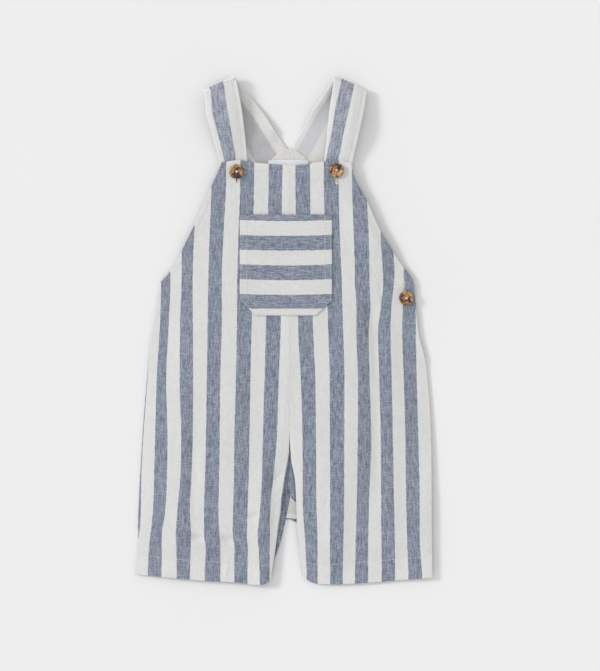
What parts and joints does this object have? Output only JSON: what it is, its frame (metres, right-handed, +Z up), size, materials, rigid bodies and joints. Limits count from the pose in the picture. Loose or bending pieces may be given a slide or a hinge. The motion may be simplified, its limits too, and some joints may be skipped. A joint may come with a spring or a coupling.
{
  "type": "dungarees",
  "caption": "Toddler's striped linen dungaree shorts with a chest pocket, laid out on their back with the buttoned shoulder straps folded over.",
  "frame": {"origin": "on the surface the garment lies on, under the middle of its box", "axes": "+X across the garment to the viewer's right, +Y from the hems to the shoulder folds, +Z up out of the front"},
  "size_m": [0.31, 0.5294, 0.0152],
  "materials": {
    "striped_linen": "matt woven stripes, white and slubbed mid blue, each 15 mm wide",
    "plain_linen": "matt, off-white",
    "label_tape": "smooth white woven tape, bare",
    "mottled_resin": "polished, mottled amber and dark brown"
  },
  "bodies": {
    "root": {"front_left": "striped_linen", "front_right": "striped_linen", "back_left": "striped_linen", "back_right": "striped_linen", "chest_pocket": "striped_linen", "strap_left": "striped_linen", "strap_right": "striped_linen", "side_placket": "striped_linen", "crotch_gusset": "plain_linen", "back_facing": "plain_linen", "neck_label": "label_tape", "strap_button_left": "mottled_resin", "strap_button_right": "mottled_resin", "side_button": "mottled_resin"}
  },
  "joints": []
}
